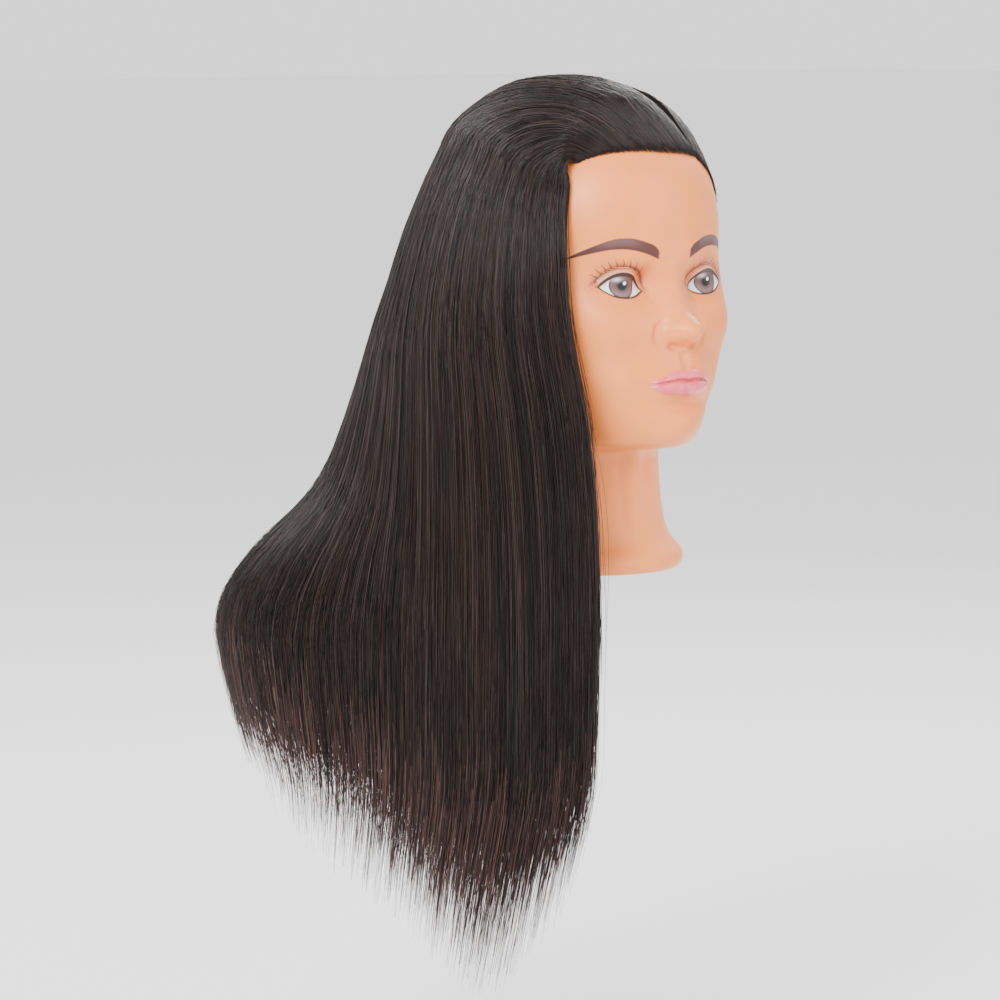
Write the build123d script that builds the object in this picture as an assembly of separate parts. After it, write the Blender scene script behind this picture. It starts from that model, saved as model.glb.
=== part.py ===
"""Hairdresser's training head: a hollow vinyl head and neck, filled with foam, with rooted hair.

The head stands upright (+Z) and faces -Y, so its right hand side is -X.  The origin is the mouth
of the clamp socket, at the centre of the neck's flat base.  All sizes are in millimetres.
"""

import os
from math import atan2, cos, degrees, pi, radians, sin

from build123d import *

# ---------------------------------------------------------------- driving dimensions
WALL = 3.0                    # vinyl skin
FIT = 0.5                     # gap between nested pieces
LINING = 1.0                  # latex coat that locks the hair roots inside the scalp
HAIR_GAP = 0.4                # between the skin and the first hairs
SECTION_POINTS = 24           # points round one level of the head

BASE_HALF_WIDTH, BASE_HALF_DEPTH = 66.0, 69.0
RIM = 12.0                    # how far the vinyl turns in under the base
DISC = 3.0                    # thickness of the base disc
DISC_LIP = 4.0                # ledge of the disc that catches on the turned-in rim

SOCKET_RADIUS = 12.7          # one-inch clamp post
SOCKET_WALL = 3.8
SOCKET_DEPTH = 66.0
SOCKET_COLLAR = 24.0
SOCKET_RIBS = 4
RIB_WIDTH, RIB_REACH = 3.0, 5.0

# Level above the base, half width, front of the face, back of the skull.
HEAD_LEVELS = (
    (71, 34, -82, 30),
    (80, 45, -99, 49),
    (97, 56, -105, 68),
    (120, 65, -105, 82),
    (145, 72, -101, 91),
    (170, 76, -99, 95),
    (195, 77, -103, 97),
    (220, 74, -99, 92),
    (240, 67, -87, 82),
    (257, 53, -68, 65),
    (269, 36, -45, 44),
    (276, 14, -17, 17),
)
HEAD_MIDDLE = 172.0           # level that stays put when the head form grows
WIDEST = 8.0                  # how far behind the socket axis the head is widest
FACE_SQUARENESS = 2.35        # 2 is an ellipse

# Level, half width, half depth of the neck and its beaded foot.
NECK_LEVELS = (
    (0, BASE_HALF_WIDTH, BASE_HALF_DEPTH),
    (8, BASE_HALF_WIDTH + 0.5, BASE_HALF_DEPTH + 0.5),
    (14, 62, 65),
    (20, 57, 60),
    (34, 53.5, 56.5),
    (55, 51.5, 54.5),
    (80, 51, 53),
    (104, 47, 47),
)

NOSE_TIP, NOSE_BASE_LEVEL, NOSE_BRIDGE_LEVEL = -118.0, 130.0, 172.0
NOSE_HALF_WIDTH = 17.0
EAR_LEVEL, EAR_BACK, EAR_TALL, EAR_LONG, EAR_OUT = 153.0, 16.0, 60.0, 34.0, 15.0

# The hairline, seen from the side: it falls from the forehead over the ear to the nape.
HAIRLINE_FRONT = (-80.0, 246.0)
HAIRLINE_NAPE = (72.0, 92.0)
HAIR_SPLIT = 236.0            # the top section lies above this level, the others hang below it
TOP_THICKNESS, TOP_FRONT_THICKNESS = 11.0, 4.0
TOP_LEAN = -14.0              # slope of the front edge, swept back from the forehead
SWEPT_THICKNESS = 9.0         # the left side, combed flat behind the ear

# The swept left side, seen from the side: along the temple, round the ear and down to the nape.
LEFT_HAIRLINE = (
    (-83, 233), (-77, 222), (-66, 209), (-48, 200), (-32, 189), (-19, 176), (-8, 172), (4, 184), (20, 189),
    (36, 180), (43, 158), (46, 134), (56, 108), (70, 92),
)

# Outline of the hanging hair: level, half width, front, back, and how far it fans out behind.
HAIR_LEVELS = (
    (HAIR_SPLIT - 0.5, 81, -101, 95, 0),
    (190, 92, -108, 108, 0),
    (136, 102, -108, 118, 6),
    (84, 106, -106, 124, 17),
    (43, 108, -104, 126, 32),
    (14, 109, -102, 128, 58),
    (-20, 110, -100, 128, 84),
    (-60, 110, -98, 128, 88),
    (-120, 109, -94, 126, 74),
    (-228, 106, -88, 122, 52),
)
HAIR_STEP = 42.0              # spacing of the levels that the panels are lofted through
FAN_BEARING, FAN_SPREAD = 137.0, 27.0
HAIR_THICKNESS = 15.0
NAPE_THICKNESS = 10.0
NAPE_TOP, NAPE_BOTTOM = 112.0, -110.0
NAPE_GAP = 2.5                # between the nape sections and the longer hair over them

# Bearings are measured from the face, round by the right ear (90) to the back (180).
PANELS = {
    "hair_right_side": (36.0, 82.0),
    "hair_right_crown": (82.0, 148.0),
    "hair_left_crown": (148.0, 213.0),
}
NAPE_PANELS = {"hair_right_nape": (112.0, 158.0), "hair_left_nape": (158.0, 206.0)}

# The fan of hair ends, seen square-on from the front right: sideways position and level.
FAN_FACING = -40.0
TIP_OUTLINE = (
    (26, -60), (17, -112), (4, -160), (-18, -196), (-46, -224), (-72, -208),
    (-100, -188), (-132, -166), (-170, -132), (-194, -98), (-216, -56),
)


# ---------------------------------------------------------------- helpers
def signed_power(value, power):
    return abs(value) ** power * (1 if value >= 0 else -1)


def row_at(rows, level):
    """The measures listed in a table of levels, at any level between two of them."""
    for one, other in zip(rows, rows[1:]):
        if min(one[0], other[0]) <= level <= max(one[0], other[0]):
            share = (level - one[0]) / (other[0] - one[0])
            return tuple(a + (b - a) * share for a, b in zip(one, other))
    raise ValueError(f"level {level} is outside the table")


def even_rows(rows, step, first, last):
    """The same table at evenly spaced levels, which a loft follows without swinging out."""
    count = round(abs(last - first) / step)
    return [row_at(rows, first + (last - first) * i / count) for i in range(count + 1)]


def head_section(level, half_width, front, back):
    """One level of the head: a superellipse whose widest point lies behind its middle."""
    points = []
    for i in range(SECTION_POINTS):
        turn = 2 * pi * i / SECTION_POINTS
        along = signed_power(cos(turn), 2 / FACE_SQUARENESS)
        reach = (WIDEST - front) if along > 0 else (back - WIDEST)
        x = -half_width * signed_power(sin(turn), 2 / FACE_SQUARENESS)
        points.append(Vector(x, WIDEST - along * reach, level))
    return Face(Wire([Edge.make_spline(points, periodic=True)]))


def head_form(grow=0.0, front_grow=None):
    """The skull and face without the neck, grown or shrunk, by another amount at the front."""
    front_grow = grow if front_grow is None else front_grow
    half_height = HEAD_LEVELS[-1][0] - HEAD_MIDDLE
    sections = []
    for level, half_width, front, back in HEAD_LEVELS:
        shifted = level + grow * (level - HEAD_MIDDLE) / half_height
        sections.append(head_section(shifted, half_width + grow, front - front_grow, back + grow))
    return loft(sections)


def ellipse_prism(half_width, half_depth, low, high):
    return Pos(0, 0, low) * extrude(Ellipse(half_width, half_depth), high - low)


def neck_form(grow=0.0):
    return loft([Pos(0, 0, level) * Ellipse(a + grow, b + grow) for level, a, b in NECK_LEVELS])


def disc(radius, low, high):
    return Pos(0, 0, low) * extrude(Circle(radius), high - low)


def above_hairline(lift=0.0):
    """A large block that covers the scalp, behind and above the sloping hairline."""
    (y0, z0), (y1, z1) = HAIRLINE_FRONT, HAIRLINE_NAPE
    slope = degrees(atan2(z1 - z0, y1 - y0))
    block = Pos(0, 0, 200 + lift) * Box(400, 700, 400)
    return Pos(0, y0, z0) * Rot(slope, 0, 0) * block


def half_space_above(level):
    return Pos(0, 0, level + 250) * Box(800, 800, 500)


# ---------------------------------------------------------------- the vinyl skin
def nose():
    """A wedge from the bridge to the tip, sunk into the face."""
    tip = NOSE_TIP
    low, high = NOSE_BASE_LEVEL, NOSE_BRIDGE_LEVEL
    rows = (
        (low - 5, NOSE_HALF_WIDTH - 6, -101),
        (low, NOSE_HALF_WIDTH, tip + 6),
        (low + 7, NOSE_HALF_WIDTH - 2, tip),
        (low + 16, NOSE_HALF_WIDTH - 6, tip + 4),
        (high, NOSE_HALF_WIDTH - 9, -100),
    )
    root = -88
    sections = [
        Pos(0, root, level) * Ellipse(width, root - front) for level, width, front in rows
    ]
    return loft(sections)


def ear(side):
    """A flat oval shell that stands off the side of the head and leans back."""
    blank = extrude(Ellipse(EAR_LONG / 2, EAR_TALL / 2), EAR_OUT, taper=12)
    hollow = Pos(-2 * side, 2, EAR_OUT - 4) * extrude(Ellipse(EAR_LONG / 4, EAR_TALL / 4), 6)
    standing = Rot(0, 0, 90 * side) * Rot(90, 0, 0) * (blank - hollow)
    return Pos(side * 69, EAR_BACK, EAR_LEVEL) * Rot(-12, 0, 0) * standing


def outer_form():
    return head_form() + neck_form() + nose() + ear(1) + ear(-1)


def inner_form(inset):
    return head_form(-inset) + neck_form(-inset)


def head_skin():
    cavity = inner_form(WALL) & half_space_above(WALL)
    opening = ellipse_prism(BASE_HALF_WIDTH - RIM, BASE_HALF_DEPTH - RIM, -1, WALL + 1)
    return outer_form() - cavity - opening


# ---------------------------------------------------------------- inside the head
def root_lining():
    shell = head_form(-WALL - FIT) - head_form(-WALL - FIT - LINING)
    return shell & above_hairline()


def socket_outside(clearance=0.0):
    """The outer shape of the socket sleeve: tube, collar and anti-turn ribs."""
    radius = SOCKET_RADIUS + SOCKET_WALL + clearance
    top = SOCKET_DEPTH + SOCKET_WALL + clearance
    collar_low = DISC + 2 * FIT + 2.5
    shape = disc(radius, 0, top) + disc(SOCKET_COLLAR + clearance, collar_low, collar_low + 2.5 + clearance)
    for i in range(SOCKET_RIBS):
        rib = Pos(0, 0, collar_low + 1) * extrude(
            Pos(radius + RIB_REACH / 2 - 0.5, 0)
            * Rectangle(RIB_REACH + 1 + clearance, RIB_WIDTH + 2 * clearance),
            SOCKET_DEPTH - collar_low - 6 + clearance,
        )
        shape += Rot(0, 0, 45 + 360 / SOCKET_RIBS * i) * rib
    return shape


def socket_sleeve():
    return socket_outside() - disc(SOCKET_RADIUS, -1, SOCKET_DEPTH)


def base_disc():
    """Closes the neck: a plate flush with the base and a ledge that rests on the rim inside."""
    half_width, half_depth = BASE_HALF_WIDTH - RIM - FIT, BASE_HALF_DEPTH - RIM - FIT
    plate = ellipse_prism(half_width, half_depth, 0, DISC + 2 * FIT)
    ledge = ellipse_prism(half_width + DISC_LIP, half_depth + DISC_LIP, DISC + FIT, DISC + FIT + 2.5)
    return plate + ledge - disc(SOCKET_RADIUS + SOCKET_WALL + FIT / 2, -1, 20)


def foam_core():
    """Fills the head above the base disc, under the lining and round the socket."""
    floor = half_space_above(DISC + 2 * FIT + 2.5)
    filling = (inner_form(WALL + FIT) - above_hairline(-FIT)) + inner_form(WALL + 2 * FIT + LINING)
    return (filling & floor) - socket_outside(FIT)


# ---------------------------------------------------------------- the hair
def hair_point(level_row, bearing, inset):
    """A point of the hanging hair's outline, fanned out at the back right."""
    level, half_width, front, back, fan = level_row
    turn = radians(bearing)
    reach = -front if cos(turn) > 0 else back
    round_radius = 1 / ((sin(turn) / half_width) ** 2 + (cos(turn) / reach) ** 2) ** 0.5
    bump = fan * 2.718 ** (-(((bearing - FAN_BEARING) / FAN_SPREAD) ** 2))
    radius = round_radius + bump - inset
    return Vector(-radius * sin(turn), -radius * cos(turn), level)


def strip(level_row, start, end, outside, inside):
    """A curved strip of the outline between two bearings and two depths."""
    steps = [start + (end - start) * i / 6 for i in range(7)]
    outer = Edge.make_spline([hair_point(level_row, b, outside) for b in steps])
    inner = Edge.make_spline([hair_point(level_row, b, inside) for b in reversed(steps)])
    sides = [Edge.make_line(outer @ 1, inner @ 0), Edge.make_line(inner @ 1, outer @ 0)]
    return Face(Wire([outer, sides[0], inner, sides[1]]))


def curtain(top, bottom, start, end, outside, inside):
    gap = 0.15                # degrees, so that neighbours stay apart
    rows = even_rows(HAIR_LEVELS, HAIR_STEP, top, bottom)
    return loft([strip(row, start + gap, end - gap, outside, inside) for row in rows])


def tips():
    """Everything above the line of the hair ends."""
    line = [(x, z) for x, z in TIP_OUTLINE]
    facing = Plane(
        origin=(0, 0, 0),
        x_dir=(cos(radians(FAN_FACING)), sin(radians(FAN_FACING)), 0),
        z_dir=(sin(radians(FAN_FACING)), -cos(radians(FAN_FACING)), 0),
    )
    ends = Spline(*line)
    closing = Polyline(line[-1], (-320, 0), (-320, 320), (200, 320), (200, 0), line[0])
    outline = make_face(Wire(ends.edges() + closing.edges()))
    return extrude(facing * outline, 320, both=True)


def head_clearance():
    return head_form(HAIR_GAP) + neck_form(HAIR_GAP) + ear(-1)


def hanging_panels(solid_head, keep):
    parts = {}
    top, bottom = HAIR_LEVELS[0][0], HAIR_LEVELS[-1][0]
    for name, (start, end) in PANELS.items():
        panel = curtain(top, bottom, start, end, 0, HAIR_THICKNESS)
        parts[name] = (panel - solid_head) & keep
    for name, (start, end) in NAPE_PANELS.items():
        outside = HAIR_THICKNESS + NAPE_GAP
        panel = curtain(NAPE_TOP, NAPE_BOTTOM, start, end, outside, outside + NAPE_THICKNESS)
        parts[name] = (panel - solid_head) & keep
    return parts


def hair_top():
    cap = head_form(TOP_THICKNESS, TOP_FRONT_THICKNESS) - head_form(HAIR_GAP)
    y, z = HAIRLINE_FRONT
    face = Pos(0, y - 50, z) * Rot(TOP_LEAN, 0, 0) * Box(300, 100, 200)
    return (cap & half_space_above(HAIR_SPLIT)) - face


def hair_left_side():
    """Combed back over the left temple, round the ear and behind it."""
    shell = head_form(SWEPT_THICKNESS) - head_form(HAIR_GAP)
    hairline = Spline(*LEFT_HAIRLINE)
    top = HAIR_SPLIT - 0.5
    closing = Polyline(LEFT_HAIRLINE[-1], (150, 92), (150, top), (-90, top), LEFT_HAIRLINE[0])
    scalp = extrude(Plane.YZ * make_face(Wire(hairline.edges() + closing.edges())), 150)
    end = radians(PANELS["hair_left_crown"][1] + 0.5)
    wedge = Polyline((0, 0), (-400 * sin(end), -400 * cos(end)), (400, -400), (0, -400), (0, 0))
    return shell & scalp & extrude(make_face(wedge), 400)


def largest(shape):
    """The main solid, without loose slivers left by the cuts."""
    return max(shape.solids(), key=lambda s: s.volume)


def main():
    os.makedirs("parts", exist_ok=True)
    solid_head = head_clearance()
    parts = {
        "head_skin": head_skin(),
        "root_lining": root_lining(),
        "foam_core": foam_core(),
        "base_disc": base_disc(),
        "socket_sleeve": socket_sleeve(),
        "hair_top": hair_top(),
        "hair_left_side": hair_left_side(),
    }
    parts.update(hanging_panels(solid_head, tips()))
    for name, shape in parts.items():
        export_step(largest(shape), f"parts/{name}.step")


main()
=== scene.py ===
"""Hairdresser's training head: a painted vinyl head and neck with long straight hair.

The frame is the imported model's: metres, +Z up, the face looks along -Y, and its right side is -X.
Shapes here are worked out in millimetres and scaled by MM when a mesh is made.
"""
from math import cos, pi, radians, sin

import bpy
import numpy as np
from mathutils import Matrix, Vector
from mathutils.bvhtree import BVHTree


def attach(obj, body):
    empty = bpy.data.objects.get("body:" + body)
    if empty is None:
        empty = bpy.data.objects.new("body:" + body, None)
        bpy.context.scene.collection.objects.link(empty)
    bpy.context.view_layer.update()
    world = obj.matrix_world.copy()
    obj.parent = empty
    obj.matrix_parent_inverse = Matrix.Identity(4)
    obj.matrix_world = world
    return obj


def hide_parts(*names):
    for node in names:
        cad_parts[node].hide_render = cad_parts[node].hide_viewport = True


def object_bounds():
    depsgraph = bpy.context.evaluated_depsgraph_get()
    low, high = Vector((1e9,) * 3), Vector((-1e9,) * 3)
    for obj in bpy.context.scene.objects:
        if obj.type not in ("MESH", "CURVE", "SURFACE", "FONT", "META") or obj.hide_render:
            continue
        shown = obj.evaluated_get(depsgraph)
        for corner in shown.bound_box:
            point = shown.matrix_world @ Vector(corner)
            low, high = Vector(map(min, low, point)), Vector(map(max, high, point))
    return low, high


MM = 0.001

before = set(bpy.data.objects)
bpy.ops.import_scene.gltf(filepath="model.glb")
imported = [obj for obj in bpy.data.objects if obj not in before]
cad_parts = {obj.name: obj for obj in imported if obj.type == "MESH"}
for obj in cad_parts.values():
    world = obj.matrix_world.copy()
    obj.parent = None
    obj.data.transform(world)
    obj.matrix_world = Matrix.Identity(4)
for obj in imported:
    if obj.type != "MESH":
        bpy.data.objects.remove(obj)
cad_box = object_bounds()


# ---- small helpers
def ease(low, high, value):
    """A smooth step from 0 at low to 1 at high, or down if low is the larger."""
    share = np.clip((value - low) / (high - low), 0, 1)
    return share * share * (3 - 2 * share)


def unit(value):
    return np.clip(value, 0, 1)


def bell(value):
    return np.exp(-(value ** 2))


def hump(x, z, centre, radius):
    """1 at the centre, falling to 0 over about one radius each way."""
    return np.exp(-(((x - centre[0]) / radius[0]) ** 2) - ((z - centre[1]) / radius[1]) ** 2)


def humps(x, z, rows):
    """A sum of humps: rows of height, centre and radius."""
    return sum(height * hump(x, z, centre, radius) for height, centre, radius in rows)


def evenly(count):
    return np.linspace(0, 1, count)


def stack(*parts):
    return np.stack(parts, axis=-1)


def join(*parts):
    return np.concatenate(parts)


def normed(vectors):
    return vectors / np.maximum(np.linalg.norm(vectors, axis=-1, keepdims=True), 1e-9)


def table(rows):
    """Turns (position, value) rows into a smooth function of position."""
    xs, ys = (np.array(column, float) for column in zip(*sorted(rows)))
    slopes = np.gradient(ys, xs)

    def value(x):
        x = np.clip(x, xs[0], xs[-1])
        i = np.clip(np.searchsorted(xs, x) - 1, 0, len(xs) - 2)
        span = xs[i + 1] - xs[i]
        t = (x - xs[i]) / span
        t2, t3 = t * t, t * t * t
        ends = (2 * t3 - 3 * t2 + 1) * ys[i] + (3 * t2 - 2 * t3) * ys[i + 1]
        return ends + ((t3 - 2 * t2 + t) * slopes[i] + (t3 - t2) * slopes[i + 1]) * span

    return value


def tables(rows):
    """One smooth function for each column after the first, which holds the positions."""
    positions, *values = zip(*rows)
    return [table(zip(positions, column)) for column in values]


def through(points, places, wanted):
    """Points at the wanted places on a smooth curve through points."""
    return stack(*(table(zip(places, axis))(wanted) for axis in zip(*points)))


def signed_power(value, power):
    return np.sign(value) * np.abs(value) ** power


def running_sum(weight, fine):
    return join([0], np.cumsum((weight[1:] + weight[:-1]) / 2 * np.diff(fine)))


def union(near, other, soft):
    """The smaller of two depths, rounded where they meet."""
    blend = unit(0.5 + 0.5 * (other - near) / soft)
    return other + (near - other) * blend - soft * blend * (1 - blend)


# ---- meshes and pieces
def new_mesh(name, verts, groups, shade=0):
    """A smooth mesh from arrays of faces; shade picks each face's material."""
    corners = join(*(group.ravel() for group in groups))
    sizes = join(*(np.full(len(group), group.shape[1]) for group in groups))
    mesh = bpy.data.meshes.new(name)
    points, loops, polygons = mesh.vertices, mesh.loops, mesh.polygons
    points.add(len(verts))
    points.foreach_set("co", (verts * MM).ravel())
    loops.add(len(corners))
    loops.foreach_set("vertex_index", corners)
    polygons.add(len(sizes))
    polygons.foreach_set("loop_start", np.cumsum(sizes) - sizes)
    polygons.foreach_set("use_smooth", np.ones(len(sizes), bool))
    polygons.foreach_set("material_index", shade + np.zeros(len(sizes), int))
    mesh.update(calc_edges=True)
    mesh.validate()
    return mesh


def add_object(name, data):
    made = bpy.data.objects.new(name, data)
    bpy.context.scene.collection.objects.link(made)
    return made


def add_piece(name, mesh, materials, node):
    """Shows a mesh as a piece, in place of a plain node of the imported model."""
    for material in materials:
        mesh.materials.append(material)
    piece = add_object(name, mesh)
    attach(piece, "root")
    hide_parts(node)


def add_vinyl(name, mesh, material, masks, ink):
    """A piece of the skin; masks and ink hold four values for each point."""
    for layer_name, values in (("paint", masks), ("ink", ink)):
        layer = mesh.color_attributes.new(layer_name, "FLOAT_COLOR", "POINT")
        layer.data.foreach_set("color", values.ravel())
    add_piece(name, mesh, [material], "head_skin")


def band(low, high, cols):
    """Quads between two rings of points, given where each starts."""
    lower, upper = low + np.arange(cols), high + np.arange(cols)
    return stack(lower, np.roll(lower, -1), np.roll(upper, -1), upper)


def fan(first, cols, tip):
    """Triangles from a ring of points to one tip."""
    ring = first + np.arange(cols)
    return stack(ring, np.roll(ring, -1), np.full(cols, tip))


def ring_faces(rows, cols, gap_after=None):
    starts = [i * cols for i in range(rows - 1) if i != gap_after]
    return join(*(band(start, start + cols, cols) for start in starts))


def closed_faces(rows, cols, turn):
    """Rings closed by two tips, whose points follow the rings'; turn -1 flips the faces."""
    count = rows * cols
    tips = join(fan(0, cols, count)[:, ::-1], fan(count - cols, cols, count + 1))
    return [faces[:, ::turn] for faces in (ring_faces(rows, cols), tips)]


def layer_mesh(name, top, foot, keep):
    """A closed layer over the kept cells of a grid, and the places of its points in the grid."""
    rows, cols = top.shape[:2]
    index = np.arange(rows * cols).reshape(rows, cols)
    cells = stack(index[:-1, :-1], index[:-1, 1:], index[1:, 1:], index[1:, :-1])[keep]
    used, flat = np.unique(cells, return_inverse=True)
    cells, count = flat.reshape(cells.shape), len(used)
    start, end = cells.ravel(), np.roll(cells, -1, axis=1).ravel()
    border = ~np.isin(start * count + end, end * count + start)
    start, end = start[border], end[border]
    walls = stack(end, start, start + count, end + count)
    verts = join(top.reshape(-1, 3)[used], foot.reshape(-1, 3)[used])
    return new_mesh(name, verts, [cells, cells[:, ::-1] + count, walls]), used


# ---- materials
class Look:
    """A material in the making: its shader and the nodes that feed it."""

    def __init__(self, name, colour, roughness, **sockets):
        self.material = bpy.data.materials.new(name)
        self.material.use_nodes = True
        self.tree = self.material.node_tree
        self.shader = self.tree.nodes["Principled BSDF"]
        self.set(Base_Color=(*colour, 1), Roughness=roughness, **sockets)

    def feed(self, socket, value):
        """Links a node's output to a socket, or sets a constant."""
        if hasattr(value, "links"):
            self.tree.links.new(value, socket)
        else:
            socket.default_value = value

    def set(self, **sockets):
        for name, value in sockets.items():
            self.feed(self.shader.inputs[name.replace("_", " ")], value)

    def node(self, kind, inputs=(), **values):
        """Adds a node and gives its outputs; inputs is (name or index, value) pairs."""
        made = self.tree.nodes.new(f"ShaderNode{kind}")
        for key, value in values.items():
            setattr(made, key, value)
        for key, value in inputs:
            self.feed(made.inputs[key], value)
        return made.outputs

    def scaled(self, vector, scale):
        return self.node("Mapping", [("Vector", vector), ("Scale", scale)])[0]

    def point(self, stretch=(1, 1, 1)):
        return self.scaled(self.node("TexCoord")["Object"], stretch)

    def noise(self, point, scale, detail):
        inputs = [("Vector", point), ("Scale", scale), ("Detail", detail)]
        return self.node("TexNoise", inputs)["Fac"]

    def ramp(self, value, low, high, to_low=0, to_high=1):
        keys = ("Value", "From Min", "From Max", "To Min", "To Max")
        return self.node("MapRange", zip(keys, (value, low, high, to_low, to_high)))["Result"]

    def mix(self, amount, one, other):
        """Mixes two colours; the node's sockets 6 and 7, and its output 2, are the ones for colours."""
        one, other = ((*value, 1) if isinstance(value, tuple) else value for value in (one, other))
        return self.node("Mix", [(0, amount), (6, one), (7, other)], data_type="RGBA")[2]

    def bump(self, height, distance, strength):
        inputs = [("Height", height), ("Distance", distance), ("Strength", strength)]
        self.set(Normal=self.node("Bump", inputs)["Normal"])


def skin_material():
    """Peach vinyl with airbrushed eye sockets, cheek blush, painted shade at the nose and mouth, and glossy
    lips, painted by the mesh's own masks.
    """
    look = Look("vinyl", (0.8, 0.23, 0.062), 0.4, Subsurface_Weight=0.04, Subsurface_Scale=0.5,
                Subsurface_Radius=(0.02, 0.008, 0.004), Specular_IOR_Level=0.34)
    point = look.point()
    cloudy = look.ramp(look.noise(point, 22, 2), 0.35, 0.65)
    colour = look.mix(cloudy, (0.82, 0.225, 0.048), (0.86, 0.258, 0.062))
    paint = look.node("Attribute", attribute_name="paint")["Color"]
    lips, shadow, blush_and_shade = look.node("SeparateColor", [(0, paint)])[:3]
    # blush on the cheeks, with painted shade in the nostrils, beside the nose wings and along the mouth
    colour = look.mix(blush_and_shade, colour, (0.7, 0.14, 0.038))
    colour = look.mix(shadow, colour, (0.4, 0.07, 0.035))
    uneven = look.ramp(look.noise(point, 160, 2), 0.4, 0.6)
    colour = look.mix(lips, colour, look.mix(uneven, (0.76, 0.085, 0.12), (0.82, 0.145, 0.175)))
    ink = look.node("Attribute", attribute_name="ink")
    patchy = look.ramp(look.noise(point, 60, 3), 0.3, 0.7, 0.36, 0.46)
    rough = look.node("Mix", [("Factor", lips), ("A", patchy), ("B", 0.16)])["Result"]
    look.set(Base_Color=look.mix(ink["Alpha"], colour, ink["Color"]), Roughness=rough)
    look.bump(look.noise(point, 1400, 2), 0.00005, 0.35)
    return look.material


def mottled_material(name, colour, roughness, dark, light, grain, relief=None):
    """A material whose colour wanders between two shades, with a relief to match."""
    look = Look(name, colour, roughness)
    patches = look.noise(look.point(), *grain)
    look.set(Base_Color=look.mix(patches, dark, light))
    if relief:
        look.bump(patches, *relief)
    return look.material


# ---- the head's form
CENTRE_Y = 8.0             # where the skull is widest
BASE_HOLE = (54, 57)       # the opening under the base, half width and half depth
WALL = 3.0
COLUMNS = 300

# Rows from the base up: level at the front, side and back, or one level for all three; half width;
# front; back; squareness.
HEAD_ROWS = (
    (0, 64.8, -68.3, 68.3, 2), (1.2, 66.6, -70, 70, 2),
    (4.5, 67.6, -71, 71, 2), (8.5, 67, -70.4, 70.4, 2),
    (12, 64.6, -67.8, 67.8, 2), (16, 61, -64.3, 64.3, 2),
    (22, 58, -61.2, 61.2, 2), (31, 55.8, -59, 59, 2),
    (44, 54.2, -57.4, 57.4, 2), (58, 53.4, -56.4, 56.8, 2),
    (66, 68, 68, 53, -56.5, 57, 2), (70.5, 73, 76, 53, -59.5, 57.6, 2),
    (72.5, 76, 82, 53, -67, 59, 2), (73, 78, 87, 53.2, -76, 61.4, 2),
    (74, 80, 92, 52.8, -85, 64.4, 2), (77, 83, 97, 53.2, -92.5, 67.5, 2),
    (82, 88, 102, 54.4, -97, 71, 2.02), (90, 95, 108, 57.2, -99.5, 75, 2.06),
    (100, 104, 115, 61.2, -100.5, 79, 2.13), (112, 114, 122, 66.3, -100.5, 83, 2.27),
    (126, 127, 132, 71, -99, 86.5, 2.38), (142, 142, 144, 74.5, -98.5, 90.5, 2.45),
    (158, 76.8, -96.8, 93.5, 2.42), (174, 77.6, -94.8, 96, 2.36),
    (190, 77.8, -93.6, 94, 2.3), (206, 76.2, -94.6, 88, 2.26),
    (220, 72.6, -92.8, 80.5, 2.26), (233, 67.6, -87.6, 73, 2.3),
    (245, 61.4, -78.5, 64.5, 2.25), (256, 52.5, -66, 54.5, 2.2),
    (265, 41.5, -50.5, 43, 2.15), (271.5, 29, -33, 30, 2.1),
    (275.2, 15, -15, 16, 2), (276, 4, -4, 4, 2),
)


def column_angles():
    """Angles round the head from the back, closer together over the face and the ears."""
    fine = np.linspace(-pi, pi, 4000)
    share = running_sum(1 + 2.2 * (1 - ease(radians(58), radians(70), np.abs(fine))), fine)
    return np.interp(np.linspace(0, share[-1], COLUMNS, endpoint=False), share, fine)


class HeadForm:
    """The plain head as a surface of (place, angle): place runs up the front profile in mm."""

    def __init__(self):
        rows = [row if len(row) == 7 else row[:1] * 3 + row[1:] for row in HEAD_ROWS]
        rows = np.array(rows, float)
        front_gaps = np.hypot(np.diff(rows[:, 0]), np.diff(rows[:, 4]))
        back_gaps = np.hypot(np.diff(rows[:, 2]), np.diff(rows[:, 5]))
        self.places = join([0], np.cumsum(np.maximum(front_gaps, back_gaps * 0.7)))
        self.measures = [table(zip(self.places, column)) for column in rows.T]

    def levels(self):
        """Many places up the front profile and the level of each."""
        fine = np.linspace(0, self.places[-1], 3000)
        return fine, self.measures[0](fine)

    def place_of_level(self, level):
        fine, levels = self.levels()
        return fine[np.argmax(levels >= level)]

    def grid(self, places, angles):
        """Points of the form, one row of them for each place."""
        front_z, side_z, back_z, half_width, front, back, power = (
            measure(places)[:, None] for measure in self.measures)
        c, s = np.cos(angles), np.sin(angles)
        reach = np.where(c > 0, CENTRE_Y - front, back - CENTRE_Y)
        x = half_width * signed_power(s, 2 / power)
        y = CENTRE_Y - signed_power(c, 2 / power) * reach
        ahead, behind = unit(c) ** 1.6, unit(-c) ** 1.6
        return stack(x, y, side_z + (front_z - side_z) * ahead + (back_z - side_z) * behind)


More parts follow.
